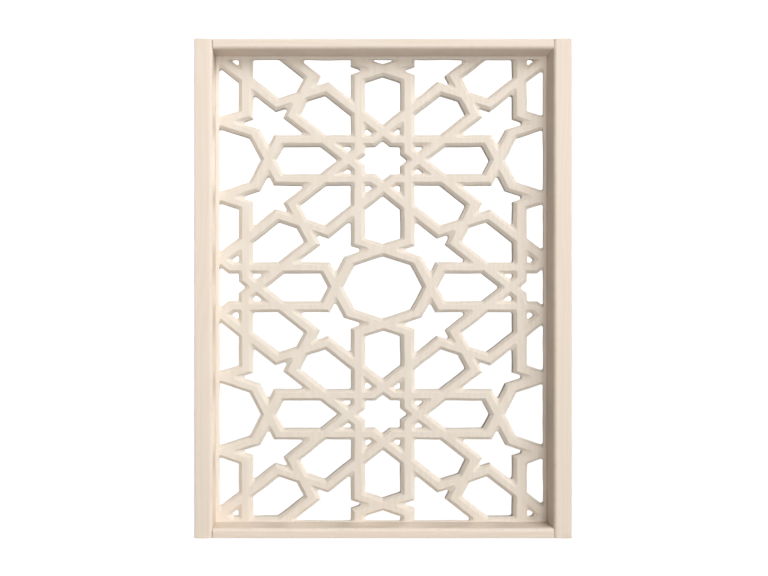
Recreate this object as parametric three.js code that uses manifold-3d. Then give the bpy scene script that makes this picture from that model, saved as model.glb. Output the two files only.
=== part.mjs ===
// Jali screen: a pierced panel of eight-petalled rosettes and octagons, set in a rebate behind the opening of a
// plain wooden frame.
//
// Millimetres. +X is right, +Y runs from the front face to the back, +Z is up. The origin is the middle of the
// underside, where the screen sits on its sill.

import * as THREE from "three";
import { mergeVertices } from "three/addons/utils/BufferGeometryUtils.js";
import Module from "manifold-3d";

// Frame
const WIDTH = 908;
const HEIGHT = 1200;
const DEPTH = 75;
const STILE_FACE = 44; // width of a stile, seen from the front
const RAIL_FACE = 24; // height of a rail, seen from the front
const ARRIS_RADIUS = 3; // the long edges of the members are rounded
const INNER_ARRIS_RADIUS = 8; // the front edge round the opening is rounded more
const ARRIS_STEPS = 4; // half the facets of a rounded edge
const REBATE = 9; // width of the step behind the inner edge, where the panel's edge lies
const GAP = 0.3; // clearance between two pieces

// Panel
const RECESS = 52; // from the front of the frame to the front of the panel
const PANEL_THICKNESS = 20;
// Unpierced margins that join the ends of the strips. Their outer parts lie in the rebate. Behind a thin lip
// their inner edges are cut away slantwise.
const MARGIN_LEFT = 18;
const MARGIN_RIGHT = 17.5;
const MARGIN_TOP = 16.2;
const MARGIN_BOTTOM = 11;
const LIP = 4;
const UNDERCUT = 4.5; // how far the slant has gone at the panel's back
const SMALLEST_OPENING = 2000; // cubic millimetres; what a margin leaves of an opening isn't cut if it is smaller

// Pattern. Its lengths are in pitches: 1 is the step from a rosette's centre to the next octagon's centre.
// The pitch is longer across than up, so the whole pattern is stretched sideways.
const PITCH_ACROSS = 402;
const PITCH_UP = 316;
const STRIP_WIDTH = 0.087;
const PETAL_HALF = 0.153; // from a petal's axis to the middle of the strip beside it
const BEVEL_WIDTH = 0.0225; // bevel on each front edge of a strip, seen from the front
const BEVEL_DEPTH = 7; // millimetres
const PATTERN_RIGHT = 4.5; // millimetres from the middle of the panel to the middle of the pattern
const PATTERN_UP = 4.5; // millimetres

// Lengths that follow from those
const PANEL_FRONT = -DEPTH / 2 + RECESS;
const REBATE_FRONT = PANEL_FRONT - GAP;
const OPENING_WIDTH = WIDTH - 2 * STILE_FACE;
const OPENING_HEIGHT = HEIGHT - 2 * RAIL_FACE;
const PANEL_WIDTH = OPENING_WIDTH + 2 * (REBATE - GAP);
const PANEL_HEIGHT = OPENING_HEIGHT + 2 * (REBATE - GAP);
const EIGHTH_TURN = Math.PI / 4;
const QUARTER_TURN = Math.PI / 2;

const wasm = await Module();
wasm.setup();

// ---- Joining and cutting ----

function toSolid(geometry) {
  const bare = geometry.clone();
  bare.deleteAttribute("normal");
  bare.deleteAttribute("uv");
  const merged = mergeVertices(bare, 1e-3);
  return new wasm.Manifold(
    new wasm.Mesh({
      numProp: 3,
      vertProperties: new Float32Array(merged.attributes.position.array),
      triVerts: new Uint32Array(merged.index.array),
    }),
  );
}

function toGeometry(solid) {
  const mesh = solid.getMesh();
  const geometry = new THREE.BufferGeometry();
  geometry.setAttribute("position", new THREE.BufferAttribute(mesh.vertProperties, 3));
  geometry.setIndex(new THREE.BufferAttribute(mesh.triVerts, 1));
  const faceted = geometry.toNonIndexed();
  faceted.computeVertexNormals();
  return faceted;
}

// ---- Frame members ----

// Cross-section shared by stiles and rails. It is drawn from the outer edge (x = 0) to the inner edge (x = face),
// with y from the front face to the back face, and has the rebate for the panel behind its inner edge.
function memberSection(face) {
  const front = -DEPTH / 2;
  const back = DEPTH / 2;
  const r = ARRIS_RADIUS;
  const inner = INNER_ARRIS_RADIUS;
  const floor = face - REBATE;
  const section = new THREE.Shape();
  section.moveTo(r, front);
  section.absarc(face - inner, front + inner, inner, -QUARTER_TURN, 0);
  section.lineTo(face, REBATE_FRONT);
  section.lineTo(floor, REBATE_FRONT);
  section.absarc(floor - r, back - r, r, 0, QUARTER_TURN);
  section.absarc(r, back - r, r, QUARTER_TURN, Math.PI);
  section.absarc(r, front + r, r, Math.PI, 3 * QUARTER_TURN);
  return section;
}

function memberGeometry(face, length) {
  return new THREE.ExtrudeGeometry(memberSection(face), {
    depth: length,
    curveSegments: ARRIS_STEPS,
    bevelEnabled: false,
  });
}

// A rail ends in two tongues. They fill the ends of the stiles' rebates, past the panel's edge.
function railGeometry() {
  const length = OPENING_WIDTH - 2 * GAP;
  const tongueBack = DEPTH / 2 - ARRIS_RADIUS;
  const tongueHeight = RAIL_FACE - REBATE;
  const tongues = new THREE.BoxGeometry(tongueHeight, tongueBack - PANEL_FRONT, length + 2 * REBATE);
  tongues.translate(tongueHeight / 2, (PANEL_FRONT + tongueBack) / 2, length / 2);
  return toGeometry(toSolid(memberGeometry(RAIL_FACE, length)).add(toSolid(tongues)));
}

// ---- Panel pattern, in pitches ----

const PETAL_TIP = Math.SQRT1_2; // where a petal meets the octagon, or the petal of the next rosette
const PETAL_RISE = (Math.SQRT2 - 1) * PETAL_HALF; // a petal's gabled end rises this far over half its width
const PETAL_SHOULDER = PETAL_TIP - PETAL_RISE;
const PETAL_WAIST = (Math.SQRT2 + 1) * PETAL_HALF; // where the strips beside two neighbouring petals cross
const ROSETTE_POINT = Math.SQRT2 * PETAL_HALF; // where the strips of the rosette's heart cross
const OCTAGON_RADIUS = 1 - PETAL_TIP;
const LAST_COLUMN = 1; // columns of rosettes and octagons, counted from the middle
const LAST_ROW = 2;

function points(...pairs) {
  return pairs.map(([x, y]) => new THREE.Vector2(x, y));
}

function regularPolygon(radius) {
  const corners = Array.from({ length: 8 }, (_, k) => k * EIGHTH_TURN);
  return corners.map((angle) => new THREE.Vector2(Math.cos(angle), Math.sin(angle)).multiplyScalar(radius));
}

function turned(outline, angle) {
  const centre = new THREE.Vector2();
  return outline.map((p) => p.clone().rotateAround(centre, angle));
}

function moved(outline, centre) {
  return outline.map((p) => p.clone().add(centre));
}

// The mirror image across the X axis, with the points in reverse so that they still run anticlockwise.
function mirrored(outline) {
  return outline.map((p) => new THREE.Vector2(p.x, -p.y)).reverse();
}

// Each outline below follows the middles of the strips round one opening, anticlockwise.

// Eight-pointed star in the heart of a rosette.
function heartOutline() {
  const inner = turned(points([PETAL_HALF / Math.cos(EIGHTH_TURN / 2), 0]), EIGHTH_TURN / 2);
  const pair = [...points([ROSETTE_POINT, 0]), ...inner];
  return Array.from({ length: 8 }, (_, k) => turned(pair, k * EIGHTH_TURN)).flat();
}

// Petal along +X.
function petalOutline() {
  return points(
    [ROSETTE_POINT, 0],
    [PETAL_WAIST, -PETAL_HALF],
    [PETAL_SHOULDER, -PETAL_HALF],
    [PETAL_TIP, 0],
    [PETAL_SHOULDER, PETAL_HALF],
    [PETAL_WAIST, PETAL_HALF],
  );
}

// Small kite between the petal along +X and the next one.
function kiteOutline() {
  return points(
    [PETAL_HALF, PETAL_RISE],
    [ROSETTE_POINT, 0],
    [PETAL_WAIST, PETAL_HALF],
    [PETAL_HALF, PETAL_HALF],
  );
}

// All the openings that belong to one rosette: its heart, its petals and its kites.
function rosetteOutlines() {
  const outlines = [heartOutline()];
  for (let k = 0; k < 8; k += 1) {
    outlines.push(turned(petalOutline(), k * EIGHTH_TURN));
    outlines.push(turned(kiteOutline(), k * EIGHTH_TURN));
  }
  return outlines;
}

// The two long points of a star that lie beside the rosettes on an octagon's left and above it, with the corner
// between them. The octagon is centred on the origin.
function starShoulders() {
  const shoulder = turned(points([PETAL_SHOULDER, -PETAL_HALF]), EIGHTH_TURN)[0];
  return points([-shoulder.y, 1 - shoulder.x], [-0.5, 0.5], [shoulder.x - 1, shoulder.y]);
}

// Five-pointed star at the upper left of an octagon.
function starOutline() {
  const corner = OCTAGON_RADIUS / Math.SQRT2;
  return [
    ...points(
      [PETAL_WAIST - 1, PETAL_HALF],
      [PETAL_SHOULDER - 1, PETAL_HALF],
      [PETAL_TIP - 1, 0],
      [-corner, corner],
      [0, OCTAGON_RADIUS],
      [-PETAL_HALF, 1 - PETAL_SHOULDER],
      [-PETAL_HALF, 1 - PETAL_WAIST],
    ),
    ...starShoulders(),
  ];
}

// An octagon with the four stars round it.
function octagonOutlines() {
  const outlines = [regularPolygon(OCTAGON_RADIUS)];
  for (let k = 0; k < 4; k += 1) {
    outlines.push(turned(starOutline(), k * QUARTER_TURN));
  }
  return outlines;
}

// What takes an octagon's place where the panel ends, with the panel's body towards -X: the strips beside the
// petal cross at its tip and run on as two posts, and a star on each side of them is open to the panel's edge.
function endOutlines() {
  const postStart = 2 * PETAL_TIP - PETAL_SHOULDER - 1;
  const betweenPosts = points(
    [PETAL_TIP - 1, 0],
    [postStart, -PETAL_HALF],
    [0, -PETAL_HALF],
    [0, PETAL_HALF],
    [postStart, PETAL_HALF],
  );
  const openStar = [
    ...points(
      [PETAL_WAIST - 1, PETAL_HALF],
      [PETAL_SHOULDER - 1, PETAL_HALF],
      [PETAL_TIP - 1, 0],
      [postStart, PETAL_HALF],
      [0, PETAL_HALF],
      [0, 1 - PETAL_WAIST + PETAL_HALF],
    ),
    ...starShoulders(),
  ];
  return [betweenPosts, openStar, mirrored(openStar)];
}

// The outlines about one point of the pattern. Rosettes and octagons alternate like the squares of a chessboard,
// with an octagon in the middle of the panel.
function outlinesAt(column, row) {
  if (column === 0 && Math.abs(row) === LAST_ROW) {
    return endOutlines().map((outline) => turned(outline, Math.sign(row) * QUARTER_TURN));
  }
  return (column + row) % 2 === 0 ? octagonOutlines() : rosetteOutlines();
}

function patternOutlines() {
  const outlines = [];
  for (let column = -LAST_COLUMN; column <= LAST_COLUMN; column += 1) {
    for (let row = -LAST_ROW; row <= LAST_ROW; row += 1) {
      const centre = new THREE.Vector2(column, row);
      outlines.push(...outlinesAt(column, row).map((outline) => moved(outline, centre)));
    }
  }
  return outlines;
}

// Moves each side of an anticlockwise outline inwards by distance.
function inset(outline, distance) {
  const count = outline.length;
  return outline.map((p, i) => {
    const before = p.clone().sub(outline[(i + count - 1) % count]).normalize();
    const after = outline[(i + 1) % count].clone().sub(p).normalize();
    const sum = new THREE.Vector2(-before.y - after.y, before.x + after.x);
    return p.clone().addScaledVector(sum, distance / (1 + before.dot(after)));
  });
}

// ---- Panel ----

// A closed solid that joins outlines with equal numbers of points, each at its own height.
function loftGeometry(outlines, heights) {
  const count = outlines[0].length;
  const top = count * (outlines.length - 1);
  const places = outlines.flatMap((outline, level) => outline.flatMap((p) => [p.x, p.y, heights[level]]));
  const index = [];
  for (let start = 0; start < top; start += count) {
    for (let i = 0; i < count; i += 1) {
      const here = start + i;
      const next = start + ((i + 1) % count);
      index.push(here, next, next + count, here, next + count, here + count);
    }
  }
  for (const [a, b, c] of THREE.ShapeUtils.triangulateShape(outlines[0], [])) {
    index.push(a, c, b);
  }
  for (const [a, b, c] of THREE.ShapeUtils.triangulateShape(outlines.at(-1), [])) {
    index.push(top + a, top + b, top + c);
  }
  const geometry = new THREE.BufferGeometry();
  geometry.setAttribute("position", new THREE.Float32BufferAttribute(places, 3));
  geometry.setIndex(index);
  return geometry;
}

// What is cut away for one opening: straight sides from the back, then a bevel that widens towards the front.
// The bevel is carried on past the front face, so that the cut doesn't end on it.
function openingGeometry(outline) {
  const pitch = new THREE.Vector2(PITCH_ACROSS, PITCH_UP);
  const middle = new THREE.Vector2(PATTERN_RIGHT, PATTERN_UP);
  const narrow = inset(outline, STRIP_WIDTH / 2);
  const wide = inset(outline, STRIP_WIDTH / 2 - BEVEL_WIDTH * 1.25);
  const levels = [narrow, narrow, wide].map((level) => level.map((p) => p.clone().multiply(pitch).add(middle)));
  return loftGeometry(levels, [
    -PANEL_THICKNESS,
    PANEL_THICKNESS - BEVEL_DEPTH,
    PANEL_THICKNESS + BEVEL_DEPTH * 0.25,
  ]);
}

// What the openings are kept within. It widens from the lip towards the back, and is carried on past both faces.
function fieldGeometry() {
  const slant = UNDERCUT / (PANEL_THICKNESS - LIP);
  const left = MARGIN_LEFT - PANEL_WIDTH / 2;
  const right = PANEL_WIDTH / 2 - MARGIN_RIGHT;
  const bottom = MARGIN_BOTTOM - PANEL_HEIGHT / 2;
  const top = PANEL_HEIGHT / 2 - MARGIN_TOP;
  const widened = (by) =>
    points([left - by, bottom - by], [right + by, bottom - by], [right + by, top + by], [left - by, top + by]);
  return loftGeometry(
    [widened(UNDERCUT + slant * LIP), widened(0), widened(0)],
    [-LIP, PANEL_THICKNESS - LIP, PANEL_THICKNESS + LIP],
  );
}

// The panel lies in its own XY plane, from z = 0, its back, to z = PANEL_THICKNESS, its front.
function panelGeometry() {
  const board = new THREE.BoxGeometry(PANEL_WIDTH, PANEL_HEIGHT, PANEL_THICKNESS);
  board.translate(0, 0, PANEL_THICKNESS / 2);
  const field = toSolid(fieldGeometry());
  let panel = toSolid(board);
  for (const outline of patternOutlines()) {
    const opening = toSolid(openingGeometry(outline)).intersect(field);
    if (opening.volume() > SMALLEST_OPENING) {
      panel = panel.subtract(opening);
    }
  }
  return toGeometry(panel);
}

// ---- Assembly ----

const frameWood = new THREE.MeshStandardMaterial({ color: 0xe8dac8, roughness: 0.62, metalness: 0 });
const panelWood = new THREE.MeshStandardMaterial({ color: 0xe2d7c8, roughness: 0.68, metalness: 0 });

const screen = new THREE.Group();

function addPiece(name, geometry, material, position, rotation) {
  const mesh = new THREE.Mesh(geometry, material);
  mesh.name = name;
  mesh.position.copy(position);
  mesh.rotation.copy(rotation);
  screen.add(mesh);
}

// A member's outer edge faces away from the opening; its length runs along its own +Z.
const stile = memberGeometry(STILE_FACE, HEIGHT);
const rail = railGeometry();
const railEnd = OPENING_WIDTH / 2 - GAP;
addPiece("stile_left", stile, frameWood, new THREE.Vector3(-WIDTH / 2, 0, 0), new THREE.Euler());
addPiece(
  "stile_right",
  stile,
  frameWood,
  new THREE.Vector3(WIDTH / 2, 0, HEIGHT),
  new THREE.Euler(0, Math.PI, 0),
);
addPiece(
  "rail_bottom",
  rail,
  frameWood,
  new THREE.Vector3(railEnd, 0, 0),
  new THREE.Euler(0, -QUARTER_TURN, 0),
);
addPiece(
  "rail_top",
  rail,
  frameWood,
  new THREE.Vector3(-railEnd, 0, HEIGHT),
  new THREE.Euler(0, QUARTER_TURN, 0),
);
addPiece(
  "lattice_panel",
  panelGeometry(),
  panelWood,
  new THREE.Vector3(0, PANEL_FRONT + PANEL_THICKNESS, HEIGHT / 2),
  new THREE.Euler(QUARTER_TURN, 0, 0),
);

export default screen;
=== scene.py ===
"""A framed jali screen: five pieces of planed pale wood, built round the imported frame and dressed.

Metres throughout. +X is right, +Y runs from the front to the back, +Z is up.
"""

import logging
import math
from collections.abc import Callable
from dataclasses import dataclass, field, replace
from enum import Enum

import bpy
import numpy as np
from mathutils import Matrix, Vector
from mathutils.geometry import tessellate_polygon


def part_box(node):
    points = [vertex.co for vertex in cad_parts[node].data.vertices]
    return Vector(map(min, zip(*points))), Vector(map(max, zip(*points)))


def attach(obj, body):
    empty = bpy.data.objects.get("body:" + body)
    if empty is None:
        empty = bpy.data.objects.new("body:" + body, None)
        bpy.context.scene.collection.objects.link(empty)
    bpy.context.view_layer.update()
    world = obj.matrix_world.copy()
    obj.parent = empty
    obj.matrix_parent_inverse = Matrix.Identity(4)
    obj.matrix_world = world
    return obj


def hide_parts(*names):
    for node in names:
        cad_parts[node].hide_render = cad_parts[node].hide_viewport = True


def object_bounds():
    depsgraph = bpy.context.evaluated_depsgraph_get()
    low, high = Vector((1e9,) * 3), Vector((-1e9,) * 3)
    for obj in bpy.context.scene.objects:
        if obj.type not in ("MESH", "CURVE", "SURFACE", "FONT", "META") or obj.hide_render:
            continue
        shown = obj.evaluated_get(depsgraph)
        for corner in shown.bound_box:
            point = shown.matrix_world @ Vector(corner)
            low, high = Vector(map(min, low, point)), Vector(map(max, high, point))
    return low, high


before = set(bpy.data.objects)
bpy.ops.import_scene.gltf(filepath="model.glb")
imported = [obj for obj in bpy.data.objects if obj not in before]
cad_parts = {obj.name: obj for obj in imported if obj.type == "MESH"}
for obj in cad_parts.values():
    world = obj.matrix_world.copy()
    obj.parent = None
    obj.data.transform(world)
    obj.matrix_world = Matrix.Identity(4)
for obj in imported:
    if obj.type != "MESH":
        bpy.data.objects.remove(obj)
CAD_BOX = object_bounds()

LOG = logging.getLogger("jali_screen")
MM = 0.001
SCREEN_MIDDLE = Vector((0.0, 0.0, 0.6))

SMOOTH_ANGLE = math.radians(32)  # edges sharper than this are shaded sharp
STRAIGHT_ANGLE = math.radians(1)  # an outline that turns by less than this runs straight on
FLATNESS = 0.01 * MM  # a corner this close to the back is on the back face
MARGIN_REACH = 0.05 * MM  # a side this close to the openings' outer limit lies along a margin
SMALLEST_TRIANGLE = 1e-14  # twice the area, in square metres, of the least triangle that is kept

Colour = tuple[float, float, float]
Placer = Callable[[np.ndarray], np.ndarray]


# ---- Outlines: closed lines in a plane ----


@dataclass
class Outlines:
    """Closed lines stored one after another. Each has the material on its left.

    points holds the places, shape (n, 2). ring says which closed line a point belongs to. mitre holds,
    for each point, the step that moves it one unit into the material along both of its sides, spread
    its step to the front edge of the bevel, and lip its step to the edge of a margin's thin lip.
    """

    points: np.ndarray
    ring: np.ndarray
    mitre: np.ndarray
    spread: np.ndarray
    lip: np.ndarray

    def after(self) -> np.ndarray:
        """Index of the next point on the same closed line."""
        return next_in_ring(self.ring)

    def before(self) -> np.ndarray:
        """Index of the point before each one on the same closed line."""
        return np.argsort(self.after())

    def rings(self) -> list[np.ndarray]:
        """The point indices of each closed line, in order."""
        return np.split(np.arange(len(self.ring)), np.flatnonzero(np.diff(self.ring)) + 1)


def next_in_ring(ring: np.ndarray) -> np.ndarray:
    """Index of the next point on each point's closed line.

    A point's next one is the one stored after it, except that the last of each line goes back to the
    first.

    Args:
        ring: the closed line of each point, in ascending order.

    Returns:
        One index for each point.
    """
    after = np.arange(1, len(ring) + 1)
    first = np.searchsorted(ring, ring, side="left")
    last = np.searchsorted(ring, ring, side="right") - 1
    at_end = np.arange(len(ring)) == last
    return np.where(at_end, first, after)


def unit(vectors: np.ndarray) -> np.ndarray:
    """The vectors divided by their lengths."""
    return vectors / np.maximum(np.linalg.norm(vectors, axis=-1, keepdims=True), 1e-12)


def left_of(directions: np.ndarray) -> np.ndarray:
    """Each direction turned a quarter turn anticlockwise."""
    return np.stack([-directions[..., 1], directions[..., 0]], axis=-1)


def read_outlines(node: bpy.types.Object) -> Outlines:
    """The outlines of a flat piece's back face, read from its mesh.

    The back face is made of the triangles whose corners all lie at the greatest y. An edge of theirs
    that no other such triangle runs back along is on an outline. Each edge leads from a point to the
    next one, and following every point twice as far at each round, it learns the lowest point of its
    line and its distance from it.

    Args:
        node: a node whose back face is flat.

    Returns:
        The corners of its outlines, in x and z, with the material on the left as seen with z up and x
        right.
    """
    mesh = node.data
    mesh.calc_loop_triangles()
    places = np.zeros(len(mesh.vertices) * 3)
    mesh.vertices.foreach_get("co", places)
    triangles = np.zeros(len(mesh.loop_triangles) * 3, dtype=np.int64)
    mesh.loop_triangles.foreach_get("vertices", triangles)
    merged, which = np.unique(np.round(places.reshape(-1, 3), 6), axis=0, return_inverse=True)
    triangles = which.reshape(-1)[triangles].reshape(-1, 3)
    back = np.all(merged[triangles, 1] > merged[:, 1].max() - FLATNESS, axis=1)
    start = np.roll(triangles[back], -1, axis=1).ravel()
    end = triangles[back].ravel()
    count = len(merged)
    on_outline = ~np.isin(start * count + end, end * count + start)
    start, end = start[on_outline], end[on_outline]

    onward = np.arange(count)
    onward[start] = end
    lowest = np.arange(count)
    jump = onward.copy()
    rounds = int(np.ceil(np.log2(count))) + 1
    for _ in range(rounds):
        lowest = np.minimum(lowest, lowest[jump])
        jump = jump[jump]
    is_lowest = lowest == np.arange(count)
    steps = np.where(is_lowest, 0, 1)
    jump = np.where(is_lowest, np.arange(count), onward)
    for _ in range(rounds):
        steps = steps + steps[jump]
        jump = jump[jump]
    order = start[np.lexsort((-steps[start], lowest[start]))]
    ring = np.unique(lowest[order], return_inverse=True)[1]
    points = merged[order][:, [0, 2]]
    return corners_only(Outlines(points, ring, *np.zeros((3, *points.shape))))


def corners_only(outlines: Outlines) -> Outlines:
    """Leaves out the points where outlines run straight on.

    The cosine of a point's turn is the scalar product of the unit vectors along its two sides.

    Args:
        outlines: outlines with any points.

    Returns:
        The same outlines with only their corners.
    """
    arriving = unit(outlines.points - outlines.points[outlines.before()])
    leaving = unit(outlines.points[outlines.after()] - outlines.points)
    bends = np.einsum("ij,ij->i", arriving, leaving) < math.cos(STRAIGHT_ANGLE)
    return replace(
        outlines,
        points=outlines.points[bends],
        ring=outlines.ring[bends],
        mitre=outlines.mitre[bends],
        spread=outlines.spread[bends],
        lip=outlines.lip[bends],
    )


def corner_steps(normal: np.ndarray, before: np.ndarray, move: np.ndarray) -> np.ndarray:
    """The steps of the corners when each side moves along its normal.

    For the unit normals a and b of a corner's two sides, and their moves p and q, the corner's step is
    (q left(a) - p left(b)) / cross(a, b).

    Args:
        normal: unit normal of the side that starts at each corner.
        before: index of the corner before each one.
        move: how far each side moves along its normal.

    Returns:
        One step for each corner.
    """
    a, b, p, q = normal[before], normal, move[before], move
    cross = a[:, 0] * b[:, 1] - a[:, 1] * b[:, 0]
    return (q[:, None] * left_of(a) - p[:, None] * left_of(b)) / cross[:, None]


def bevelled(corners: Outlines, across: float, up: float, undercut: float) -> Outlines:
    """The corners with their steps to the front edge of the bevel and to the lip.

    A side whose unit normal is (x, z) is bevelled by the length of (across x, up z). A side that runs
    along a margin isn't bevelled: it moves towards the opening by the undercut instead. Such a side has
    both its ends at the least or the greatest x or z that any opening reaches.

    Args:
        corners: the outlines' corners.
        across: how far the bevel moves an upright side.
        up: how far it moves a level side.
        undercut: how far a margin's lip stands out over its back.

    Returns:
        The outlines with their spread and lip.
    """
    points, before, after = corners.points, corners.before(), corners.after()
    border = corners.ring == corners.ring[np.argmin(points[:, 0])]
    inner = points[~border]
    limits = np.stack([inner.min(axis=0), inner.max(axis=0)])
    at_limit = np.abs(points[None] - limits[:, None]) < MARGIN_REACH
    along_margin = np.any(at_limit & at_limit[:, after], axis=(0, 2)) & ~border
    normal = left_of(unit(points[after] - points))
    slope = np.linalg.norm(normal * (across, up), axis=1)
    spread = corner_steps(normal, before, np.where(along_margin | border, 0.0, slope))
    lip = corner_steps(normal, before, np.where(along_margin, -undercut, 0.0))
    return replace(corners, spread=spread, lip=lip)


@dataclass(frozen=True)
class Cutter:
    """A round cutter and how closely its work is followed.

    radius is the cutter's. No arc takes up more than side_share of a side, and a side shorter than
    shortest counts as that long. Points are at most step apart along a straight side, and arc_step
    round an arc.
    """

    radius: float = 5 * MM
    side_share: float = 0.45
    shortest: float = 0.2 * MM
    step: float = 9 * MM
    arc_step: float = math.radians(18)


def cut_outlines(corners: Outlines, cutter: Cutter) -> Outlines:
    """Outlines as a round cutter leaves them, with points at even steps.

    Where the material turns round an opening's corner, the corner becomes an arc of the cutter's
    radius: it starts and ends the tangent length, radius times tan(half the turn), from the corner, and
    its points are the arc's start turned about its centre. The radius is less where the tangent length
    would take up too much of a side, at the back, at the lip or at the front. Where the material stands
    out as a corner, it stays sharp.

    Args:
        corners: the outlines' corners.
        cutter: what the openings are cut with.

    Returns:
        The outlines with their mitre steps. Along a side the spread and the lip go evenly from one
        corner's to the next's.
    """
    points, before, after = corners.points, corners.before(), corners.after()
    come = unit(points - points[before])
    go = unit(points[after] - points)
    cross = come[:, 0] * go[:, 1] - come[:, 1] * go[:, 0]
    turn = np.arctan2(cross, np.einsum("ij,ij->i", come, go))
    # The material is on the left, so where the line turns right the cutter is inside its turn.
    is_cut = turn < 0
    levels = points + np.stack([0 * corners.lip, corners.lip, corners.lip + corners.spread])
    sides = np.einsum("kij,ij->ki", levels[:, after] - levels, go).min(axis=0)
    room = cutter.side_share * np.maximum(np.minimum(sides, sides[before]), cutter.shortest)
    half_tan = np.tan(np.abs(turn) / 2)
    tangent = np.where(is_cut, np.minimum(cutter.radius * half_tan, room), 0.0)
    radius = tangent / half_tan
    arc_count = np.where(is_cut, np.ceil(np.abs(turn) / cutter.arc_step).astype(int) + 1, 1)
    leave = points + go * tangent[:, None]
    arrive = points[after] - go * tangent[after][:, None]
    length = np.linalg.norm(arrive - leave, axis=1)
    side_count = np.maximum(np.ceil(length / cutter.step).astype(int) - 1, 0)

    total = arc_count + side_count
    corner = np.repeat(np.arange(len(points)), total)
    index = np.arange(len(corner)) - np.repeat(np.cumsum(total) - total, total)
    on_arc = index < arc_count[corner]

    share = np.where(arc_count[corner] > 1, index / np.maximum(arc_count[corner] - 1, 1), 0.5)
    angle = share * turn[corner]
    start = points[corner] - come[corner] * tangent[corner][:, None]
    centre = start - left_of(come[corner]) * radius[corner][:, None]
    spoke = start - centre
    arc = centre + np.stack(
        [
            spoke[:, 0] * np.cos(angle) - spoke[:, 1] * np.sin(angle),
            spoke[:, 0] * np.sin(angle) + spoke[:, 1] * np.cos(angle),
        ],
        axis=1,
    )
    along = (index - arc_count[corner] + 1) / (side_count[corner] + 1)
    side = leave[corner] + (arrive[corner] - leave[corner]) * along[:, None]

    heading = np.arctan2(come[corner, 1], come[corner, 0]) + angle
    arc_normal = left_of(np.stack([np.cos(heading), np.sin(heading)], axis=1))
    sharp = left_of(come + go) / (1 + np.einsum("ij,ij->i", come, go))[:, None]
    mitre = np.where(is_cut[corner][:, None], arc_normal, sharp[corner])
    mitre = np.where(on_arc[:, None], mitre, left_of(go[corner]))
    share = np.where(on_arc, 0.0, along)[:, None]
    spread = corners.spread[corner] * (1 - share) + corners.spread[after][corner] * share
    lip = corners.lip[corner] * (1 - share) + corners.lip[after][corner] * share
    return Outlines(np.where(on_arc[:, None], arc, side), corners.ring[corner], mitre, spread, lip)


# ---- Meshes ----


@dataclass
class Skin:
    """A closed surface in the making: vertices, faces and the value of each attribute at each vertex."""

    vertices: list[np.ndarray] = field(default_factory=list)
    faces: list[np.ndarray] = field(default_factory=list)
    edge: list[np.ndarray] = field(default_factory=list)
    count: int = 0

    def add_points(self, places: np.ndarray, edge: np.ndarray) -> np.ndarray:
        """Adds a grid of vertices.

        Args:
            places: the places, shape (..., 3).
            edge: how far each is on a rounded edge, from 0 to 1, of the same shape without the last axis.

        Returns:
            The index of each vertex, in the shape of edge.
        """
        index = self.count + np.arange(edge.size).reshape(edge.shape)
        self.vertices.append(places.reshape(-1, 3))
        self.edge.append(edge.ravel())
        self.count += edge.size
        return index

    def add_bands(self, index: np.ndarray, after: np.ndarray) -> None:
        """Joins each row of a grid to the next with four-sided faces.

        The face at row r and column c has the corners (r, c), (r, after c), (r + 1, after c), (r + 1, c).

        Args:
            index: vertex indices, one row for each ring.
            after: the column that follows each column round its ring.
        """
        here, there = index[:-1], index[1:]
        quads = np.stack([here, here[:, after], there[:, after], there], axis=-1)
        self.faces.append(quads.reshape(-1, 4))

    def add_cap(self, flat: np.ndarray, index: np.ndarray, rings: list[np.ndarray], facing: int) -> None:
        """Fills flat outlines, with the openings left out.

        Args:
            flat: the outlines' points in their plane, shape (n, 2).
            index: the vertex of each point.
            rings: the point indices of each closed line.
            facing: +1 if the triangles run anticlockwise in that plane, -1 if they run clockwise.
        """
        order = np.concatenate(rings)
        lines = [[Vector((x, y, 0.0)) for x, y in flat[ring].tolist()] for ring in rings]
        triangles = np.array(tessellate_polygon(lines), dtype=np.int64)
        a, b, c = (flat[order[triangles[:, k]]] for k in range(3))
        area = (b[:, 0] - a[:, 0]) * (c[:, 1] - a[:, 1]) - (b[:, 1] - a[:, 1]) * (c[:, 0] - a[:, 0])
        turned = np.where((area * facing > 0)[:, None], triangles, triangles[:, ::-1])
        self.faces.append(index[order[turned[np.abs(area) > SMALLEST_TRIANGLE]]])

    def to_object(self, name: str) -> bpy.types.Object:
        """Makes the mesh and an object that shows it, smooth except across sharp edges.

        Args:
            name: the object's and the mesh's name.

        Returns:
            The object.
        """
        mesh = bpy.data.meshes.new(name)
        faces = [face for group in self.faces for face in group.tolist()]
        mesh.from_pydata(np.concatenate(self.vertices).tolist(), [], faces)
        attribute = mesh.attributes.new("edge", "FLOAT", "POINT")
        attribute.data.foreach_set("value", np.concatenate(self.edge).astype(np.float32))
        mesh.polygons.foreach_set("use_smooth", np.ones(len(mesh.polygons), dtype=bool))
        mesh.set_sharp_from_angle(angle=SMOOTH_ANGLE)
        mesh.validate()
        made = bpy.data.objects.new(name, mesh)
        bpy.context.scene.collection.objects.link(made)
        return made


def ripple(places: np.ndarray, phase: float) -> np.ndarray:
    """Slow hollows that a plane leaves in wood, from 0 to 1.

    It is the mean of four sine waves of the place, moved to run from 0 to 1. Their wavelengths are
    between 40 and 170 mm, and each runs its own way.

    Args:
        places: the places, shape (..., 3).
        phase: turns the same waves into another pattern.

    Returns:
        One value for each place.
    """
    waves = np.array([[31.0, 17.0, 16.0], [-54.0, 41.0, 37.0], [73.0, -88.0, 61.0], [17.0, 105.0, -97.0]])
    phases = phase + np.array([0.0, 1.7, 3.1, 4.6])
    return 0.5 + 0.5 * np.sin(places @ waves.T + phases).mean(axis=-1)


# ---- Shader node groups and finishes ----


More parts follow.
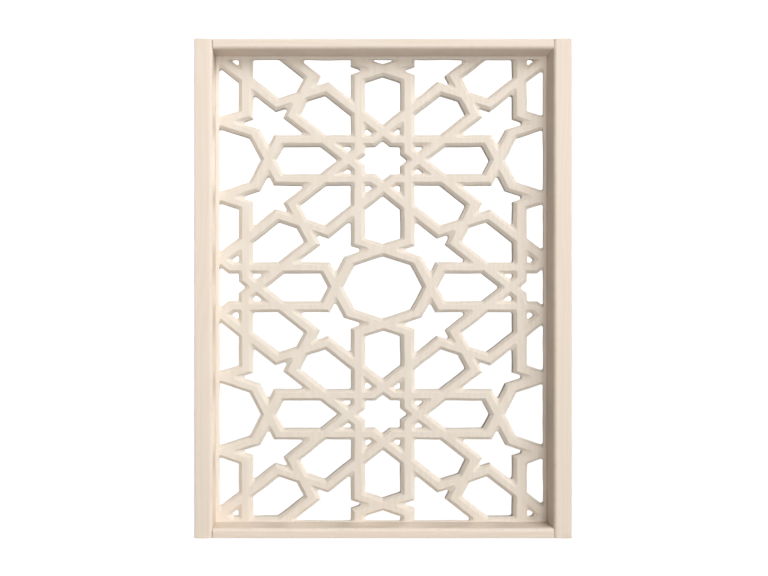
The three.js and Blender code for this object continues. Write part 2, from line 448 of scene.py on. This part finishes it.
class Grain(Enum):
    """The way that the fibres run."""

    UPRIGHT = (0.0, 0.0, 0.0)
    ACROSS = (0.0, math.pi / 2, 0.0)

    @property
    def turn(self) -> tuple[float, float, float]:
        """The turn that brings the fibres to the pattern's own Z axis."""
        return self.value


class Nodes:
    """A node tree with short calls to add nodes and links."""

    def __init__(self, tree: bpy.types.NodeTree) -> None:
        """Keeps the tree to add to."""
        self.tree = tree

    def add(self, kind: str, **values: object) -> bpy.types.Node:
        """Adds a node.

        Args:
            kind: the node's type, without its ShaderNode prefix.
            values: properties of the node, set by name.

        Returns:
            The node.
        """
        made = self.tree.nodes.new("ShaderNode" + kind)
        for name, value in values.items():
            setattr(made, name, value)
        return made

    def feed(self, node: bpy.types.Node, **sources: object) -> bpy.types.Node:
        """Sets or links a node's inputs.

        Args:
            node: the node whose inputs are fed.
            sources: for each input's name, with _ for a space, or in_ and its number, a value or a socket.

        Returns:
            The same node.
        """
        for name, source in sources.items():
            key = int(name[3:]) if name.startswith("in_") else name.replace("_", " ")
            if isinstance(source, bpy.types.NodeSocket):
                self.tree.links.new(source, node.inputs[key])
            else:
                node.inputs[key].default_value = source
        return node

    def math(self, operation: str, first: object, second: object = 0.0, third: object = 0.0) -> object:
        """The output of a Math node."""
        node = self.add("Math", operation=operation)
        return self.feed(node, in_0=first, in_1=second, in_2=third).outputs[0]

    def ramp(self, value: object, low: float, high: float) -> object:
        """A value moved so that low becomes 0 and high becomes 1, with soft ends."""
        node = self.add("MapRange", interpolation_type="SMOOTHSTEP")
        return self.feed(node, Value=value, From_Min=low, From_Max=high).outputs["Result"]

    def noise(self, vector: object, detail: float, roughness: float = 0.5, scale: float = 1.0) -> object:
        """The value of a Noise node, about 0 to 1.

        Args:
            vector: the socket that gives the place.
            detail: how many finer layers it has.
            roughness: how strong each finer layer is beside the one before.
            scale: of the noise.

        Returns:
            The output socket.
        """
        node = self.add("TexNoise", noise_dimensions="3D")
        self.feed(node, Vector=vector, Scale=scale, Detail=detail, Roughness=roughness)
        return node.outputs[0]

    def stretched(self, vector: object, across: float, along: float) -> object:
        """A vector scaled by across in X and Y, and by along in Z."""
        node = self.add("Mapping", vector_type="POINT")
        return self.feed(node, Vector=vector, Scale=(across, across, along)).outputs[0]

    def tint(self, factor: object, first: object, second: object) -> object:
        """The output of a colour Mix node.

        Args:
            factor: share of the second colour.
            first: a colour or a socket.
            second: a colour or a socket.

        Returns:
            The output socket.
        """
        node = self.add("Mix", data_type="RGBA", blend_type="MIX")
        sockets = [s for s in node.inputs if s.enabled]
        for socket, source in zip(sockets, (factor, first, second)):
            if isinstance(source, bpy.types.NodeSocket):
                self.tree.links.new(source, socket)
            elif isinstance(source, tuple):
                socket.default_value = (*source, 1.0)
            else:
                socket.default_value = source
        return next(s for s in node.outputs if s.enabled)


def new_group(
    name: str, inputs: dict[str, float | None], outputs: list[str]
) -> tuple[Nodes, bpy.types.Node, bpy.types.Node]:
    """Starts a shader node group.

    Args:
        name: the group's name.
        inputs: each input's name and its default, or None for a vector.
        outputs: the names of the outputs, which are all values.

    Returns:
        Its nodes, and its input and output nodes.
    """
    tree = bpy.data.node_groups.new(name, "ShaderNodeTree")
    for label, default in inputs.items():
        kind = "NodeSocketVector" if default is None else "NodeSocketFloat"
        socket = tree.interface.new_socket(label, in_out="INPUT", socket_type=kind)
        if default is not None:
            socket.default_value = default
    for label in outputs:
        tree.interface.new_socket(label, in_out="OUTPUT", socket_type="NodeSocketFloat")
    nodes = Nodes(tree)
    return nodes, tree.nodes.new("NodeGroupInput"), tree.nodes.new("NodeGroupOutput")


def wood_grain_group() -> bpy.types.NodeTree:
    """Growth rings, fibres and pores of sawn wood whose fibres run along Z.

    The rings are waves of the distance from a far axis, bent by slow noise. The fibres and the pores
    are fine noise drawn out along Z, of which the pores are only the rare low places, and the patches
    are broad noise.

    Returns:
        The group, which takes a place and gives four values from 0 to 1.
    """
    inputs = {"Vector": None, "Ring Width": 0.009, "Wander": 1.0}
    nodes, given, out = new_group("Wood grain", inputs, ["Rings", "Fibres", "Pores", "Patches"])
    vector = given.outputs["Vector"]
    slow = nodes.noise(nodes.stretched(vector, across=9.0, along=1.1), detail=2.0)
    bend = nodes.math("MULTIPLY", nodes.math("SUBTRACT", slow, 0.5), given.outputs["Wander"])
    flat = nodes.stretched(vector, across=1.0, along=0.0)
    away = nodes.feed(nodes.add("VectorMath", operation="LENGTH"), in_0=flat).outputs["Value"]
    turns = nodes.math("DIVIDE", away, given.outputs["Ring Width"])
    rings_bent = 9.0
    phase = nodes.math("MULTIPLY_ADD", bend, rings_bent, turns)
    wave = nodes.math("SINE", nodes.math("MULTIPLY", phase, 2 * math.pi))
    rings = nodes.ramp(wave, low=-1.0, high=1.0)
    fibres = nodes.noise(nodes.stretched(vector, across=900.0, along=14.0), detail=3.0, roughness=0.6)
    pores = nodes.noise(nodes.stretched(vector, across=1300.0, along=45.0), detail=1.0)
    patches = nodes.noise(nodes.stretched(vector, across=14.0, along=3.0), detail=3.0)
    nodes.feed(
        out,
        Rings=rings,
        Fibres=nodes.ramp(fibres, low=0.3, high=0.7),
        Pores=nodes.ramp(pores, low=0.34, high=0.25),
        Patches=nodes.ramp(patches, low=0.3, high=0.7),
    )
    return nodes.tree


def edge_scuff_and_highlight_group() -> bpy.types.NodeTree:
    """Scuffing and a painted highlight on rounded edges: the edge value, broken up by noise of the place.

    Returns:
        The group, which takes a place, the edge value and an amount, and gives the scuffing and painted
        highlight from 0 to 1.
    """
    inputs = {"Vector": None, "Edge": 0.0, "Amount": 0.5}
    nodes, given, out = new_group("Edge wear", inputs, ["Wear"])
    broken = nodes.noise(given.outputs["Vector"], detail=3.0, roughness=0.6, scale=55.0)
    kept = nodes.math("MULTIPLY", given.outputs["Edge"], nodes.ramp(broken, low=0.25, high=0.6))
    nodes.feed(out, Wear=nodes.math("MULTIPLY", kept, given.outputs["Amount"]))
    return nodes.tree


@dataclass(frozen=True)
class WoodFinish:
    """Pale unvarnished wood.

    pale and dark are the colours between its growth rings and on them, heart the colour of broad warmer
    patches and scuffed_and_highlight that of scuffed edges, lighter also as a painted highlight.
    ring_width is the distance between rings, and offset moves the wood away from the tree's axis. The
    shares say how strongly the rings, patches, fibres, pores and the scuffed, highlighted edges colour
    the wood, and scuff_and_highlight how far the edges are scuffed and painted lighter. Fibres add
    fibre_roughness to the roughness, and scuffed edges worn_roughness. relief is the strength of the
    fibres' bumps and relief_height their height, and a pore is pore_depth of them deep.
    """

    name: str
    grain: Grain
    offset: tuple[float, float, float]
    pale: Colour = (0.79, 0.695, 0.60)
    dark: Colour = (0.725, 0.61, 0.495)
    heart: Colour = (0.78, 0.655, 0.56)
    # scuffed edges; the lighter colour is also a painted highlight along them
    scuffed_and_highlight: Colour = (0.85, 0.765, 0.67)
    ring_width: float = 0.011
    scuff_and_highlight: float = 0.7
    ring_share: float = 0.42
    heart_share: float = 0.55
    fibre_share: float = 0.16
    pore_share: float = 0.35
    scuffed_and_highlight_share: float = 0.8
    roughness: float = 0.58
    fibre_roughness: float = 0.12
    worn_roughness: float = -0.1
    pore_depth: float = 1.2
    relief: float = 0.25
    relief_height: float = 0.2 * MM

    def build(self, grain: bpy.types.NodeTree, scuff_and_highlight: bpy.types.NodeTree) -> bpy.types.Material:
        """Makes the material.

        Args:
            grain: the wood grain group.
            scuff_and_highlight: the group for edge scuffing and its painted highlight.

        Returns:
            The material.
        """
        material = bpy.data.materials.new(self.name)
        material.use_nodes = True
        nodes = Nodes(material.node_tree)
        shader = material.node_tree.nodes["Principled BSDF"]
        place = nodes.add("TexCoord").outputs["Object"]
        turned = nodes.add("Mapping", vector_type="POINT")
        nodes.feed(turned, Vector=place, Location=self.offset, Rotation=self.grain.turn)
        wood = nodes.add("Group", node_tree=grain)
        nodes.feed(wood, Vector=turned.outputs[0], Ring_Width=self.ring_width, Wander=1.0)
        edge = nodes.add("Attribute", attribute_name="edge").outputs["Fac"]
        # Rounded edges get a lighter colour: scuffing, and a painted highlight along them.
        edge_scuff_and_highlight = nodes.add("Group", node_tree=scuff_and_highlight)
        nodes.feed(edge_scuff_and_highlight, Vector=place, Edge=edge, Amount=self.scuff_and_highlight)

        layers = [
            (wood.outputs["Rings"], self.ring_share, self.dark),
            (wood.outputs["Patches"], self.heart_share, self.heart),
            (wood.outputs["Fibres"], self.fibre_share, self.dark),
            (wood.outputs["Pores"], self.pore_share, self.dark),
            # painted highlight and scuffing on the rounded edges
            (edge_scuff_and_highlight.outputs["Wear"], self.scuffed_and_highlight_share, self.scuffed_and_highlight),
        ]
        colour = self.pale
        for strength, share, tone in layers:
            colour = nodes.tint(nodes.math("MULTIPLY", strength, share), colour, tone)

        fibres, scuff_and_highlight_here = wood.outputs["Fibres"], edge_scuff_and_highlight.outputs["Wear"]
        rough = nodes.math("MULTIPLY_ADD", fibres, self.fibre_roughness, self.roughness)
        polished = nodes.math("MULTIPLY_ADD", scuff_and_highlight_here, self.worn_roughness, rough)
        height = nodes.math("MULTIPLY_ADD", wood.outputs["Pores"], -self.pore_depth, fibres)
        bump = nodes.add("Bump")
        nodes.feed(bump, Height=height, Strength=self.relief, Distance=self.relief_height)
        nodes.feed(shader, Base_Color=colour, Roughness=polished, Normal=bump.outputs[0])
        return material


# ---- The pierced panel ----


@dataclass
class PiercedPanel:
    """The panel, its strips bevelled in front and all their edges eased.

    The bevel's width is bevel_share of the pattern's pitch, which is longer across than up, so it is
    wider on upright sides than on level ones. bevel_depth is its depth. The eased radii are those of
    the bevel's front edge, the edge where it meets the straight side, and the edge on the back.
    knee_edge is the middle one's share of edge. The margins' lips are lip_depth thick and stand out by
    undercut. wander is how far the carving strays sideways, and depth_wander how much the bevel's depth
    varies, over lengths that are depth_pace times shorter.
    """

    node: str = "lattice_panel"
    name: str = "pierced_panel"
    pitch_across: float = 402 * MM
    pitch_up: float = 316 * MM
    bevel_share: float = 0.0225
    bevel_depth: float = 7 * MM
    front_ease: float = 0.9 * MM
    middle_ease: float = 1.5 * MM
    back_ease: float = 1.2 * MM
    knee_edge: float = 0.4
    lip_depth: float = 4 * MM
    undercut: float = 4.5 * MM
    wander: float = 0.9 * MM
    depth_wander: float = 0.9 * MM
    depth_pace: float = 2.5
    cutter: Cutter = Cutter()
    ease_steps: int = 3

    def profile(self, thickness: float) -> np.ndarray:
        """The line from the front face over the bevel and the straight side to the back face.

        Each eased edge is a parabola between points its radius away from the edge: with t from 0 to 1,
        the distance left on the first side goes as (1 - t) squared and that on the second as t squared.

        Args:
            thickness: of the panel.

        Returns:
            For each point, in columns, its share of the spread, its step into the material, its depth
            and its share of edge.
        """
        t = np.linspace(0, 1, self.ease_steps + 1)
        fall, rise, edge, zero = (1 - t) ** 2, t**2, 4 * t * (1 - t), 0 * t
        first = self.front_ease / self.bevel_depth
        second = self.middle_ease / self.bevel_depth
        arris = [1 - first * rise, self.front_ease * fall, self.bevel_depth * first * rise, edge]
        halfway = [[0.5], [0.0], [0.5 * self.bevel_depth], [0.0]]
        knee_depth = self.bevel_depth * (1 - second * fall) + self.middle_ease * rise
        knee = [second * fall, zero, knee_depth, self.knee_edge * edge]
        heel = [zero, self.back_ease * rise, thickness - self.back_ease * fall, edge]
        parts = [np.array(part) for part in (arris, halfway, knee, heel)]
        return np.concatenate(parts, axis=1).T

    def strayed(self, places: np.ndarray) -> np.ndarray:
        """How far the carving has strayed: one slow field of sine waves across, and another up.

        Args:
            places: the places, shape (n, 3).

        Returns:
            A step for each place, across and up.
        """
        across = ripple(places, phase=0.4) - 0.5
        up = ripple(places, phase=2.9) - 0.5
        return 2 * self.wander * np.stack([across, up], axis=-1)

    def build(self) -> bpy.types.Object:
        """Makes the panel: the profile carried along every outline, with a flat front and back between.

        A point of the skin is the outline's point, moved by its share of the spread towards the front
        edge of the bevel, by its share of the step to the lip, which falls evenly from the lip's depth
        to the back, and along its mitre step into the material, at the profile's depth behind the front
        face. Everything but the hidden border then strays a little, and the bevel's depth varies as a
        hand tool leaves it.

        Returns:
            The panel's object.
        """
        low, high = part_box(self.node)
        back = read_outlines(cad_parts[self.node])
        across, up = self.bevel_share * self.pitch_across, self.bevel_share * self.pitch_up
        outlines = cut_outlines(bevelled(back, across, up, self.undercut), self.cutter)
        rings = outlines.rings()
        spans = [np.ptp(outlines.points[ring, 0]) for ring in rings]
        border = int(np.argmax(spans))
        inside = (outlines.ring != outlines.ring[rings[border][0]]).astype(float)
        thickness = high.y - low.y
        profile = self.profile(thickness)
        share, into, deep, edge = (profile[:, k, None] for k in range(4))
        covered = np.clip((thickness - deep) / (thickness - self.lip_depth), 0, 1)
        moved = outlines.spread[None] * share[..., None] + outlines.mitre[None] * (into * inside)[..., None]
        moved = moved + outlines.lip[None] * covered[..., None]
        level = np.stack([outlines.points[:, 0], np.zeros(len(inside)), outlines.points[:, 1]], axis=-1)
        flat = outlines.points[None] + moved + self.strayed(level)[None] * inside[None, :, None]
        on_bevel = ((deep > 0) & (share > 0)) * inside[None]
        uneven = self.depth_wander * (ripple(level * self.depth_pace, phase=5.3) - 0.5)
        depth = deep + on_bevel * uneven[None]
        places = np.stack([flat[..., 0], low.y + depth, flat[..., 1]], axis=-1)

        skin = Skin()
        index = skin.add_points(places, np.broadcast_to(edge, depth.shape))
        skin.add_bands(index, outlines.after())
        ordered = [rings[border]] + [ring for k, ring in enumerate(rings) if k != border]
        skin.add_cap(flat[0], index[0], ordered, 1)
        skin.add_cap(flat[-1], index[-1], ordered, -1)
        made = skin.to_object(self.name)
        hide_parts(self.node)
        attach(made, "root")
        LOG.info("%s: %d openings, %d faces", made.name, len(rings) - 1, len(made.data.polygons))
        return made


# ---- The frame members ----


@dataclass
class MemberSection:
    """Cross-section of a stile or rail: u from its outer to its inner edge, y from its front to its back.

    inner_arris is the radius of the front edge round the opening and arris that of the other long
    edges. Behind rebate_front the inner side steps back by rebate, to hold the panel's edge. Each
    quarter circle has arc_steps steps, and the flat front and the inner side have flat_steps, so that
    they can be planed hollow.
    """

    face: float
    depth: float
    inner_arris: float = 8 * MM
    arris: float = 3 * MM
    rebate: float = 9 * MM
    rebate_front: float = 51.7 * MM
    arc_steps: int = 7
    flat_steps: int = 5

    def arc(
        self, centre: tuple[float, float], radius: float, start: float
    ) -> tuple[np.ndarray, np.ndarray]:
        """A quarter of a circle, anticlockwise, with its share of edge: greatest in its middle.

        Args:
            centre: of the circle.
            radius: of the circle.
            start: the angle it starts at.

        Returns:
            Its points and their shares of edge.
        """
        share = np.linspace(0, 1, self.arc_steps + 1)
        angle = start + share * math.pi / 2
        points = np.array(centre) + radius * np.stack([np.cos(angle), np.sin(angle)], axis=1)
        return points, 4 * share * (1 - share)

    def line(self) -> tuple[np.ndarray, np.ndarray]:
        """The section's closed line, anticlockwise.

        Returns:
            Its points and their shares of edge.
        """
        face, depth, r, big = self.face, self.depth, self.arris, self.inner_arris
        quarter = math.pi / 2
        across = np.linspace(r, face - big, self.flat_steps + 1)[1:-1]
        front = np.stack([across, np.zeros_like(across)], axis=1)
        deep = np.linspace(big, self.rebate_front, self.flat_steps + 1)[1:-1]
        side = np.stack([np.full_like(deep, face), deep], axis=1)
        floor = face - self.rebate
        shoulder = np.array([[face, self.rebate_front], [floor, self.rebate_front]])
        parts = [
            (front, np.zeros(len(front))),
            self.arc((face - big, big), big, -quarter),
            (side, np.zeros(len(side))),
            (shoulder, np.zeros(len(shoulder))),
            self.arc((floor - r, depth - r), r, 0),
            self.arc((r, depth - r), r, quarter),
            self.arc((r, r), r, 2 * quarter),
        ]
        return np.concatenate([p for p, _ in parts]), np.concatenate([e for _, e in parts])


@dataclass
class FrameMember:
    """A stile or rail: its section carried along its length, with its ends chamfered.

    inwards is the direction from the member's outer edge to the opening. A rail ends in two tongues of
    tongue_height, which reach tongue_length into the stiles' rebates and fill their ends, and inset
    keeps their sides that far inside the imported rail's. chamfer draws in the ends, hollow is the
    greatest depth of the plane's hollows, and step the greatest distance between rings of points.
    """

    node: str
    inwards: tuple[float, float, float]
    tongue_length: float = 0.0
    tongue_height: float = 15 * MM
    inset: float = 0.5 * MM
    chamfer: float = 0.7 * MM
    hollow: float = 0.35 * MM
    step: float = 14 * MM

    def axes(self) -> tuple[np.ndarray, np.ndarray, np.ndarray, float, float]:
        """The member's own axes, its origin and its size, from its node's box.

        Returns:
            A matrix whose rows are the directions of u, y and the length, the corner of the box where
            all three start, the box's diagonal in those directions, and the length and face without the
            tongues.
        """
        low, high = (np.array(corner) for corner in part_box(self.node))
        inwards = np.array(self.inwards)
        rows = np.stack([inwards, [0.0, 1.0, 0.0], np.cross(inwards, [0.0, 1.0, 0.0])])
        towards = rows.sum(axis=0)
        origin = np.where(towards > 0, low, high) + rows[2] * self.tongue_length
        extent = np.abs(rows @ (high - low))
        return rows, origin, extent, float(extent[2] - 2 * self.tongue_length), float(extent[0])

    def stations(self, length: float) -> tuple[np.ndarray, np.ndarray]:
        """Where the rings of points lie: at even steps between the chamfers, and at the very ends.

        Args:
            length: of the member, without tongues.

        Returns:
            Each ring's place along the length, and how far it is drawn in.
        """
        count = int(math.ceil(length / self.step))
        along = np.linspace(self.chamfer, length - self.chamfer, count + 1)
        drawn = np.zeros(count + 3)
        drawn[[0, -1]] = self.chamfer
        return np.concatenate([[0.0], along, [length]]), drawn

    def add_tongues(self, skin: Skin, section: MemberSection, length: float, place: Placer) -> None:
        """Adds the two tongues: boxes that start just inside the rail's ends.

        Args:
            skin: the rail's skin.
            section: the rail's section.
            length: of the rail, without tongues.
            place: turns the rail's own places into places in the frame.
        """
        inset = self.inset
        front, back = section.rebate_front + inset, section.depth - section.arris - inset
        u = np.array([0.0, 1.0, 1.0, 0.0]) * (self.tongue_height - 2 * inset) + inset
        y = np.array([0.0, 0.0, 1.0, 1.0]) * (back - front) + front
        for first, last in ((-self.tongue_length, inset), (length - inset, length + self.tongue_length)):
            w = np.array([[first], [last]])
            box = np.stack(np.broadcast_arrays(u, y, w), axis=-1)
            index = skin.add_points(place(box), np.zeros((2, 4)))
            skin.add_bands(index, np.array([1, 2, 3, 0]))
            skin.faces.append(np.stack([index[0, ::-1], index[1]]))

    def build(self) -> bpy.types.Object:
        """Makes the member.

        A point of the skin is the section's point at its station along the length, moved inwards along
        both of its sides by the chamfer at the ends and by the plane's slow hollows between them.

        Returns:
            The member's object.
        """
        rows, origin, extent, length, face = self.axes()
        section = MemberSection(face, float(extent[1]))
        line, edge = section.line()
        stations, drawn = self.stations(length)
        after = np.roll(np.arange(len(line)), -1)
        come = unit(line - np.roll(line, 1, axis=0))
        go = unit(line[after] - line)
        inward = left_of(come + go) / (1 + np.einsum("ij,ij->i", come, go))[:, None]
        shape = (len(stations), len(line))
        own = np.zeros((*shape, 3))
        own[..., :2] = line
        own[..., 2] = stations[:, None]

        def place(local: np.ndarray) -> np.ndarray:
            """The places in the frame of places given in the member's own axes."""
            return origin + local @ rows

        planed = (drawn == 0)[:, None]
        deep = line[:, 1]
        in_rebate = (deep > section.rebate_front - MM) & (deep < section.depth - section.arris - MM)
        hollow = self.hollow * ripple(place(own), phase=1.3) * planed * ~in_rebate[None]
        own[..., :2] += inward[None] * (hollow + drawn[:, None])[..., None]
        skin = Skin()
        index = skin.add_points(place(own), np.broadcast_to(edge, shape))
        skin.add_bands(index, after)
        ring = [np.arange(len(line))]
        skin.add_cap(line, index[0], ring, -1)
        skin.add_cap(line, index[-1], ring, 1)
        if self.tongue_length > 0:
            self.add_tongues(skin, section, length, place)
        made = skin.to_object("planed_" + self.node)
        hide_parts(self.node)
        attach(made, "root")
        LOG.info("%s: %.0f mm long, %d faces", made.name, length / MM, len(made.data.polygons))
        return made


# ---- The studio ----


@dataclass(frozen=True)
class Lamp:
    """A wide soft sun: where it comes from, its strength, the angle it covers in degrees and its colour.

    It stands away from the middle of the screen by distance, which doesn't change its light.
    """

    name: str
    comes_from: tuple[float, float, float]
    strength: float
    angle: float
    colour: Colour = (1.0, 0.99, 0.97)
    distance: float = 3.0

    def build(self) -> bpy.types.Object:
        """Makes the lamp, pointing at the middle of the screen.

        Returns:
            The lamp's object.
        """
        light = bpy.data.lights.new(self.name, "SUN")
        light.energy = self.strength
        light.angle = math.radians(self.angle)
        light.color = self.colour
        lamp = bpy.data.objects.new(self.name, light)
        bpy.context.scene.collection.objects.link(lamp)
        towards = Vector(self.comes_from).normalized()
        lamp.location = SCREEN_MIDDLE + towards * self.distance
        lamp.rotation_euler = (-towards).to_track_quat("-Z", "Y").to_euler()
        return lamp


@dataclass(frozen=True)
class Studio:
    """A plain pale floor, four soft lamps, a dim even surround and the camera.

    distance is from the camera to the front of the screen, span the width in view there, aim the
    camera's x and z, and centre the x and z in the middle of the view. The camera looks straight along
    +Y, its shift brings centre to the middle, and sensor is its sensor's width in millimetres. surround
    and backdrop are the strengths of the light from all round and from behind. The floor and the
    surround look white to the camera, by floor_glow and surround_glow, and floor_seen is how much of
    the floor's own shading that covers.
    """

    distance: float = 1.68
    span: float = 1.8432
    aim: tuple[float, float] = (-0.157, 0.556)
    centre: tuple[float, float] = (0.0017, 0.6012)
    sensor: float = 36.0
    lamps: tuple[Lamp, ...] = (
        Lamp("front", (0.0, -1.0, 0.0), 1.0, 12),
        Lamp("key", (0.3, -1.0, 0.5), 1.3, 28),
        Lamp("side", (1.2, -1.0, 1.2), 1.5, 25),
        Lamp("rim", (1.0, 1.0, 0.3), 2.2, 40),
    )
    surround: float = 0.04
    backdrop: float = 0.2
    surround_colour: Colour = (1.0, 0.99, 0.975)
    surround_glow: float = 1.1
    floor_reach: float = 12.0
    floor_colour: Colour = (0.55, 0.55, 0.55)
    floor_glow: float = 1.05
    floor_seen: float = 0.97

    def build_floor(self) -> bpy.types.Object:
        """Makes the floor: a wide square that the camera sees nearly white.

        Returns:
            The floor's object.
        """
        half = self.floor_reach
        mesh = bpy.data.meshes.new("floor")
        corners = [(-half, -half, 0), (half, -half, 0), (half, half, 0), (-half, half, 0)]
        mesh.from_pydata(corners, [], [(0, 1, 2, 3)])
        floor = bpy.data.objects.new("floor", mesh)
        bpy.context.scene.collection.objects.link(floor)
        material = bpy.data.materials.new("pale floor")
        material.use_nodes = True
        nodes = Nodes(material.node_tree)
        shader = material.node_tree.nodes["Principled BSDF"]
        nodes.feed(shader, Base_Color=(*self.floor_colour, 1.0), Roughness=0.9)
        glow = nodes.feed(nodes.add("Emission"), Strength=self.floor_glow)
        seen = nodes.math("MULTIPLY", nodes.add("LightPath").outputs["Is Camera Ray"], self.floor_seen)
        mixed = nodes.add("MixShader")
        nodes.feed(mixed, in_0=seen, in_1=shader.outputs[0], in_2=glow.outputs[0])
        output = material.node_tree.nodes["Material Output"]
        nodes.feed(output, Surface=mixed.outputs[0])
        mesh.materials.append(material)
        return floor

    def build_world(self) -> None:
        """Makes the surround: dim, a little brighter behind like a backdrop, and white to the camera."""
        world = bpy.data.worlds.new("studio")
        world.use_nodes = True
        world.node_tree.nodes.clear()
        nodes = Nodes(world.node_tree)
        towards = nodes.add("TexCoord").outputs["Generated"]
        depth = nodes.feed(nodes.add("SeparateXYZ"), Vector=towards).outputs["Y"]
        behind = nodes.ramp(depth, low=-0.1, high=0.8)
        strength = nodes.math("MULTIPLY_ADD", behind, self.backdrop - self.surround, self.surround)
        colour = (*self.surround_colour, 1.0)
        light = nodes.feed(nodes.add("Background"), Color=colour, Strength=strength)
        white = nodes.feed(nodes.add("Background"), Color=(1, 1, 1, 1), Strength=self.surround_glow)
        mixed = nodes.add("MixShader")
        seen = nodes.add("LightPath").outputs["Is Camera Ray"]
        nodes.feed(mixed, in_0=seen, in_1=light.outputs[0], in_2=white.outputs[0])
        output = nodes.feed(nodes.add("OutputWorld"), Surface=mixed.outputs[0])
        output.is_active_output = True
        bpy.context.scene.world = world

    def build_camera(self) -> None:
        """Makes the camera in front, a little left of the middle and below it."""
        data = bpy.data.cameras.new("camera")
        camera = bpy.data.objects.new("camera", data)
        bpy.context.scene.collection.objects.link(camera)
        front = CAD_BOX[0][1]
        data.sensor_width = self.sensor
        data.lens = data.sensor_width * self.distance / self.span
        camera.location = (self.aim[0], front - self.distance, self.aim[1])
        camera.rotation_euler = (math.pi / 2, 0, 0)
        data.shift_x = (self.centre[0] - self.aim[0]) / self.span
        data.shift_y = (self.centre[1] - self.aim[1]) / self.span
        bpy.context.scene.camera = camera

    def build(self) -> None:
        """Makes the whole studio."""
        self.build_camera()
        self.build_floor()
        self.build_world()
        for lamp in self.lamps:
            lamp.build()
        bpy.context.scene.view_settings.view_transform = "Standard"


def main() -> None:
    """Builds the studio, the panel and the frame members, and dresses them."""
    logging.basicConfig(level=logging.INFO, format="%(name)s: %(message)s")
    Studio().build()
    grain, scuff_and_highlight = wood_grain_group(), edge_scuff_and_highlight_group()
    panel = PiercedPanel().build()
    finish = WoodFinish("frame wood", Grain.UPRIGHT, (0.35, -0.6, 0.0))
    sanded = replace(
        finish,
        name="panel wood",
        pale=(0.765, 0.70, 0.62),
        dark=(0.70, 0.61, 0.51),
        heart=(0.75, 0.66, 0.58),
        # scuffed edges, also painted lighter as a highlight
        scuffed_and_highlight=(0.83, 0.77, 0.69),
    )
    panel.data.materials.append(sanded.build(grain, scuff_and_highlight))
    members = [
        FrameMember("stile_left", (1.0, 0.0, 0.0)),
        FrameMember("stile_right", (-1.0, 0.0, 0.0)),
        FrameMember("rail_top", (0.0, 0.0, -1.0), tongue_length=9 * MM),
        FrameMember("rail_bottom", (0.0, 0.0, 1.0), tongue_length=9 * MM),
    ]
    for number, member in enumerate(members):
        # Each member is cut from another place in the tree.
        wood = replace(
            finish,
            name=member.node.replace("_", " ") + " wood",
            grain=Grain.ACROSS if member.tongue_length > 0 else Grain.UPRIGHT,
            offset=(0.2 + 0.13 * number, 0.31, 0.05 * number),
        )
        member.build().data.materials.append(wood.build(grain, scuff_and_highlight))


if __name__ == "__main__":
    main()
